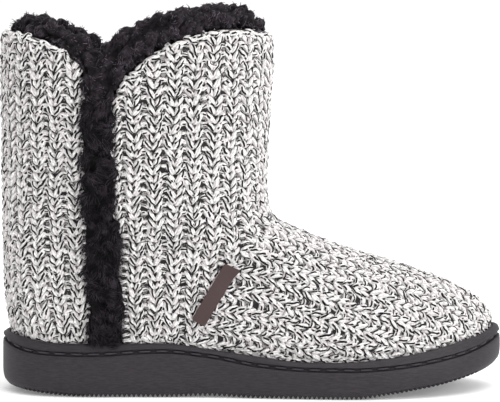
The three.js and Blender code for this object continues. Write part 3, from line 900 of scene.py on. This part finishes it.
# Materials
def marl_wool():
    """Acrylic and wool marl yarn, knitted: off-white and grey plies with one thin black ply, matt and fuzzy.

    The black ply shows as crisp dashes along the lower side of each loop, the hollows between the plies are
    greyed with painted shade, and the fuzz mottles the rest."""
    material, tree, shader = new_material("marl_wool_yarn")
    place = add_node(tree, "ShaderNodeTexCoord")
    uv = add_node(tree, "ShaderNodeUVMap", {"uv_map": "yarn"})
    split = add_node(tree, "ShaderNodeSeparateXYZ", links={"Vector": uv.outputs["UV"]})
    dark = None
    for scale, low, high, width, start in ((0.12, -0.02, 0.26, 0.075, 0.4), (0.19, -0.3, 0.1, 0.05, 0.57)):
        wander = add_node(tree, "ShaderNodeTexNoise", {"noise_dimensions": "1D"},
                          {"Scale": scale, "Detail": 2}, {"W": split.outputs["X"]})
        reach = {"From Min": 0.25, "From Max": 0.75, "To Min": low, "To Max": high}
        drift = add_node(tree, "ShaderNodeMapRange", inputs=reach, links={"Value": wander.outputs["Fac"]})
        off = add_node(tree, "ShaderNodeMath", {"operation": "SUBTRACT"},
                       links={0: split.outputs["Y"], 1: drift.outputs["Result"]})
        wrapped = add_node(tree, "ShaderNodeMath", {"operation": "WRAP"}, {1: 0.5, 2: -0.5},
                           {0: off.outputs[0]})
        away = add_node(tree, "ShaderNodeMath", {"operation": "ABSOLUTE"}, links={0: wrapped.outputs[0]})
        ply = add_node(tree, "ShaderNodeMapRange", {"interpolation_type": "SMOOTHSTEP"},
                       {"From Min": width * 0.65, "From Max": width, "To Min": 1, "To Max": 0},
                       {"Value": away.outputs[0]})
        fade = add_node(tree, "ShaderNodeTexNoise", {"noise_dimensions": "1D"}, {"Scale": 0.31, "Detail": 1},
                        {"W": split.outputs["X"]})
        shown = add_node(tree, "ShaderNodeMapRange", inputs={"From Min": start, "From Max": start + 0.08},
                         links={"Value": fade.outputs["Fac"]})
        line = add_node(tree, "ShaderNodeMath", {"operation": "MULTIPLY"},
                        links={0: ply.outputs["Result"], 1: shown.outputs["Result"]})
        if dark is not None:
            line = add_node(tree, "ShaderNodeMath", {"operation": "MAXIMUM"},
                            links={0: dark.outputs[0], 1: line.outputs[0]})
        dark = line
    plies = add_node(tree, "ShaderNodeMath", {"operation": "MULTIPLY"}, {1: 2 * math.pi * 5},
                     {0: split.outputs["Y"]})
    wave = add_node(tree, "ShaderNodeMath", {"operation": "SINE"}, links={0: plies.outputs[0]})
    # Painted shade: the yarn is greyed in the hollows between its plies
    painted_ply_hollow_shade = add_node(tree, "ShaderNodeMapRange",
                      inputs={"From Min": -1, "From Max": 0, "To Min": 0.45, "To Max": 0},
                      links={"Value": wave.outputs[0]})
    fuzz = add_node(tree, "ShaderNodeTexNoise", inputs={"Scale": 750, "Detail": 3, "Roughness": 0.7},
                    links={"Vector": place.outputs["Object"]})
    patch = add_node(tree, "ShaderNodeMapRange", inputs={"From Min": 0.38, "From Max": 0.64},
                     links={"Value": fuzz.outputs["Fac"]})
    pale = add_node(tree, "ShaderNodeMix", {"data_type": "RGBA"},
                    {6: srgb("efedec"), 7: srgb("b8b4b3")}, {0: patch.outputs["Result"]})
    lined = add_node(tree, "ShaderNodeMix", {"data_type": "RGBA"}, {7: srgb("807c7c")},
                     {0: painted_ply_hollow_shade.outputs["Result"], 6: pale.outputs[2]})
    colour = add_node(tree, "ShaderNodeMix", {"data_type": "RGBA"}, {7: srgb("0f0e12")},
                      {0: dark.outputs[0], 6: lined.outputs[2]})
    height = add_node(tree, "ShaderNodeMath", {"operation": "MULTIPLY_ADD"}, {1: 0.3},
                      {0: wave.outputs[0], 2: fuzz.outputs["Fac"]})
    relief = add_node(tree, "ShaderNodeBump", inputs={"Strength": 0.6, "Distance": 0.4 * MM},
                      links={"Height": height.outputs[0]})
    tree.links.new(colour.outputs[2], shader.inputs["Base Color"])
    tree.links.new(relief.outputs["Normal"], shader.inputs["Normal"])
    shader.inputs["Roughness"].default_value = 0.95
    shader.inputs["Specular IOR Level"].default_value = 0.2
    return material


def knit_ground():
    """The back of the same knit, seen in the gaps between the stitches: light marl flecks on a dark that is
    painted shade, as the gaps lie in shadow.
    """
    material, tree, shader = new_material("marl_knit_ground_painted_shade")
    place = add_node(tree, "ShaderNodeTexCoord")
    fleck = add_node(tree, "ShaderNodeTexNoise", inputs={"Scale": 420, "Detail": 2, "Roughness": 0.7},
                     links={"Vector": place.outputs["Object"]})
    ramp = add_node(tree, "ShaderNodeMapRange", {"interpolation_type": "SMOOTHSTEP"},
                    {"From Min": 0.48, "From Max": 0.62}, {"Value": fleck.outputs["Fac"]})
    # The dark end is painted shade of the gaps and the light end is the marl's flecks
    colour = add_node(tree, "ShaderNodeMix", {"data_type": "RGBA"}, {6: srgb("1c1a1c"), 7: srgb("8c8988")},
                      {0: ramp.outputs["Result"]})
    tree.links.new(colour.outputs[2], shader.inputs["Base Color"])
    shader.inputs["Roughness"].default_value = 0.95
    return material


def sherpa_pile(name, shade_low, shade_high, by_hair=False):
    """Polyester sherpa pile, brushed and curled: near black and matt, darkened between its locks with
    painted shade.
    """
    material, tree, shader = new_material(name)
    place = add_node(tree, "ShaderNodeTexCoord")
    patch = add_node(tree, "ShaderNodeTexNoise", inputs={"Scale": 420, "Detail": 4, "Roughness": 0.7},
                     links={"Vector": place.outputs["Object"]})
    tone = patch
    if by_hair:
        uv = add_node(tree, "ShaderNodeUVMap", {"uv_map": "yarn"})
        split = add_node(tree, "ShaderNodeSeparateXYZ", links={"Vector": uv.outputs["UV"]})
        each = add_node(tree, "ShaderNodeTexNoise", {"noise_dimensions": "1D"}, {"Scale": 0.15, "Detail": 0},
                        {"W": split.outputs["X"]})
        lump = add_node(tree, "ShaderNodeTexNoise", inputs={"Scale": 190, "Detail": 1},
                        links={"Vector": place.outputs["Object"]})
        half = add_node(tree, "ShaderNodeMath", {"operation": "MULTIPLY"}, {1: 0.75},
                        {0: lump.outputs["Fac"]})
        tone = add_node(tree, "ShaderNodeMath", {"operation": "MULTIPLY_ADD"}, {1: 0.25},
                        {0: each.outputs["Fac"], 2: half.outputs[0]})
    spread = add_node(tree, "ShaderNodeMapRange", inputs={"From Min": 0.38, "From Max": 0.64},
                      links={"Value": tone.outputs[0]})
    colour = add_node(tree, "ShaderNodeMix", {"data_type": "RGBA"},
                      {6: srgb(shade_low), 7: srgb(shade_high)}, {0: spread.outputs["Result"]})
    # Painted shade: the colour is darkened towards near black in the creases between the locks
    crease = add_node(tree, "ShaderNodeAttribute", {"attribute_name": "crease"})
    crease_shade_share = add_node(tree, "ShaderNodeMapRange", inputs={"From Min": 0.3, "To Max": 0.85},
                    links={"Value": crease.outputs["Fac"]})
    painted_crease_shade = add_node(tree, "ShaderNodeMix", {"data_type": "RGBA"}, {7: srgb("060506")},
                      {0: crease_shade_share.outputs["Result"], 6: colour.outputs[2]})
    relief = add_node(tree, "ShaderNodeBump", inputs={"Strength": 1, "Distance": 1.2 * MM},
                      links={"Height": patch.outputs["Fac"]})
    tree.links.new(painted_crease_shade.outputs[2], shader.inputs["Base Color"])
    tree.links.new(relief.outputs["Normal"], shader.inputs["Normal"])
    shader.inputs["Roughness"].default_value = 0.9
    shader.inputs["Specular IOR Level"].default_value = 0.12
    shader.inputs["Sheen Weight"].default_value = 0.03
    shader.inputs["Sheen Roughness"].default_value = 0.5
    return material


def moulded_rubber():
    """Thermoplastic rubber, injection moulded: satin, with the faint level brush lines of its mould."""
    material, tree, shader = new_material("thermoplastic_rubber_moulded")
    place = add_node(tree, "ShaderNodeTexCoord")
    level = add_node(tree, "ShaderNodeMapping", inputs={"Scale": (260, 260, 2300)},
                     links={"Vector": place.outputs["Object"]})
    lines = add_node(tree, "ShaderNodeTexNoise", inputs={"Scale": 1, "Detail": 3, "Roughness": 0.6},
                     links={"Vector": level.outputs["Vector"]})
    grain = add_node(tree, "ShaderNodeTexNoise", inputs={"Scale": 2200, "Detail": 2},
                     links={"Vector": place.outputs["Object"]})
    height = add_node(tree, "ShaderNodeMath", {"operation": "MULTIPLY_ADD"}, {1: 0.6},
                      {0: lines.outputs["Fac"], 2: grain.outputs["Fac"]})
    streak = add_node(tree, "ShaderNodeMapRange", inputs={"From Min": 0.35, "From Max": 0.65},
                      links={"Value": lines.outputs["Fac"]})
    colour = add_node(tree, "ShaderNodeMix", {"data_type": "RGBA"}, {6: srgb("171317"), 7: srgb("2c272d")},
                      {0: streak.outputs["Result"]})
    rough = add_node(tree, "ShaderNodeMapRange", inputs={"To Min": 0.5, "To Max": 0.68},
                     links={"Value": lines.outputs["Fac"]})
    relief = add_node(tree, "ShaderNodeBump", inputs={"Strength": 0.45, "Distance": 0.15 * MM},
                      links={"Height": height.outputs[0]})
    tree.links.new(colour.outputs[2], shader.inputs["Base Color"])
    tree.links.new(rough.outputs["Result"], shader.inputs["Roughness"])
    tree.links.new(relief.outputs["Normal"], shader.inputs["Normal"])
    shader.inputs["IOR"].default_value = 1.5
    shader.inputs["Specular IOR Level"].default_value = 0.35
    return material


def bonded_thread():
    """Bonded polyester sewing thread, twisted: dark, with a slight shine."""
    material, tree, shader = new_material("bonded_polyester_thread")
    uv = add_node(tree, "ShaderNodeUVMap", {"uv_map": "yarn"})
    split = add_node(tree, "ShaderNodeSeparateXYZ", links={"Vector": uv.outputs["UV"]})
    turns = add_node(tree, "ShaderNodeMath", {"operation": "MULTIPLY_ADD"}, {1: 0.9},
                     {0: split.outputs["X"], 2: split.outputs["Y"]})
    plies = add_node(tree, "ShaderNodeMath", {"operation": "MULTIPLY"}, {1: 2 * math.pi * 3},
                     {0: turns.outputs[0]})
    wave = add_node(tree, "ShaderNodeMath", {"operation": "SINE"}, links={0: plies.outputs[0]})
    shade = add_node(tree, "ShaderNodeMapRange", inputs={"From Min": -1}, links={"Value": wave.outputs[0]})
    colour = add_node(tree, "ShaderNodeMix", {"data_type": "RGBA"}, {6: srgb("1c1b1d"), 7: srgb("57525a")},
                      {0: shade.outputs["Result"]})
    relief = add_node(tree, "ShaderNodeBump", inputs={"Strength": 0.7, "Distance": 0.15 * MM},
                      links={"Height": wave.outputs[0]})
    tree.links.new(colour.outputs[2], shader.inputs["Base Color"])
    tree.links.new(relief.outputs["Normal"], shader.inputs["Normal"])
    shader.inputs["Roughness"].default_value = 0.55
    return material


def woven_ribbon():
    """Polyester satin ribbon, woven: brown, with fine cross ribs."""
    material, tree, shader = new_material("polyester_ribbon_woven")
    place = add_node(tree, "ShaderNodeTexCoord")
    turned = add_node(tree, "ShaderNodeMapping", inputs={"Rotation": (0, math.radians(31), 0)},
                      links={"Vector": place.outputs["Object"]})
    weave = add_node(tree, "ShaderNodeTexWave", {"bands_direction": "Z"}, {"Scale": 900, "Distortion": 0.6},
                     {"Vector": turned.outputs["Vector"]})
    colour = add_node(tree, "ShaderNodeMix", {"data_type": "RGBA"}, {6: srgb("281919"), 7: srgb("462e2e")},
                      {0: weave.outputs["Fac"]})
    relief = add_node(tree, "ShaderNodeBump", inputs={"Strength": 0.5, "Distance": 0.15 * MM},
                      links={"Height": weave.outputs["Fac"]})
    tree.links.new(colour.outputs[2], shader.inputs["Base Color"])
    tree.links.new(relief.outputs["Normal"], shader.inputs["Normal"])
    shader.inputs["Roughness"].default_value = 0.6
    return material


# Surroundings: the lights by name, with their place, size and power
LIGHTS = [("over", (0.3, -0.3, 1.4), 1.2, 12), ("front_right", (1.0, -0.9, 0.5), 0.7, 7)]
LIT_SPOT = (0, 0, 0.1)


def make_surroundings():
    bpy.context.scene.view_settings.view_transform = "Standard"
    bm = bmesh.new()
    bmesh.ops.create_grid(bm, x_segments=1, y_segments=1, size=6)
    floor_mesh = bpy.data.meshes.new("floor")
    bm.to_mesh(floor_mesh)
    bm.free()
    floor = add_object("floor", floor_mesh)
    material, _, shader = new_material("white_floor_painted_glow")
    shader.inputs["Base Color"].default_value = srgb("f7f7f7")
    # The floor glows a little: painted light that lifts the shadows on it and lights the shoe from below
    shader.inputs["Emission Color"].default_value = (1, 1, 1, 1)
    shader.inputs["Emission Strength"].default_value = 0.16
    shader.inputs["Roughness"].default_value = 0.9
    floor_mesh.materials.append(material)
    world = bpy.data.worlds.new("studio")
    world.use_nodes = True
    world.node_tree.nodes["Background"].inputs["Color"].default_value = (1, 1, 1, 1)
    world.node_tree.nodes["Background"].inputs["Strength"].default_value = 1.03
    bpy.context.scene.world = world
    for name, place, size, power in LIGHTS:
        data = bpy.data.lights.new(name, "AREA")
        data.size = size
        data.energy = power
        add_object(name, data, place, LIT_SPOT)


def shown_collar(roots, normals):
    """Places of the roll above the knitted edge, or within reach of the eye inside it."""
    x, z = (roots[:, 0] - HEEL) / MM, roots[:, 2] / MM
    from_middle = x - (SHAFT["back"] + SHAFT["front"]) / 2
    inner_side = normals[:, 0] * from_middle + normals[:, 1] * roots[:, 1] / MM < 0
    return (z > height_at_edge(x) - 1) | (inner_side & (z > 172))


def shown_strip(roots, normals):
    return normals[:, 1] * roots[:, 1] > 0


make_camera()
make_surroundings()

pile_hair = sherpa_pile("sherpa_pile_hair", "1a161a", "645c65", by_hair=True)
pile_ground = sherpa_pile("sherpa_pile_ground", "0c0a0c", "322c32")
pile_inside = sherpa_pile("sherpa_pile_lining", "151215", "464047")
# Darker copies of the same pile for the strips: painted shade, as the strips stand upright and sunk below
# the roll
strip_hair_painted_shade = sherpa_pile("sherpa_pile_strip_hair_painted_shade", "080608", "3c363d", by_hair=True)
strip_ground_painted_shade = sherpa_pile("sherpa_pile_strip_ground_painted_shade", "060506", "1c171d")
rubber = moulded_rubber()

outline, inwards = make_outsole(rubber)
make_groove_thread(outline, inwards, bonded_thread())
make_knit(outline, inwards, marl_wool())
make_knit_ground(knit_ground())
rough_copy("lining_pile", "lining", pile_inside, cuts=1, rounds=2, depth=1.2, grain=7, seed=2)
footbed = rough_copy("footbed", "insole", pile_inside, cuts=2, rounds=3, depth=0.6, grain=7, seed=6)
make_label(woven_ribbon())

collar = rough_copy("collar_locks", "fur_collar", pile_ground, cuts=3, rounds=3, depth=2.6,
                    grain=7, seed=3)
make_hairs("collar_hair", collar, pile_hair, wanted=7000, allow=shown_collar, length=2.7, thickness=0.45,
           bend=2.2, seed=11)
for side in ("outer", "inner"):
    strip = rough_copy("strip_locks_" + side, "fur_strip_" + side, strip_ground_painted_shade, cuts=3, rounds=3,
                       depth=1.6, grain=6.5, seed=4, tuck=146)
    make_hairs("strip_hair_" + side, strip, strip_hair_painted_shade, wanted=3200, allow=shown_strip, length=4.6,
               thickness=0.4, bend=1.8, seed=12)
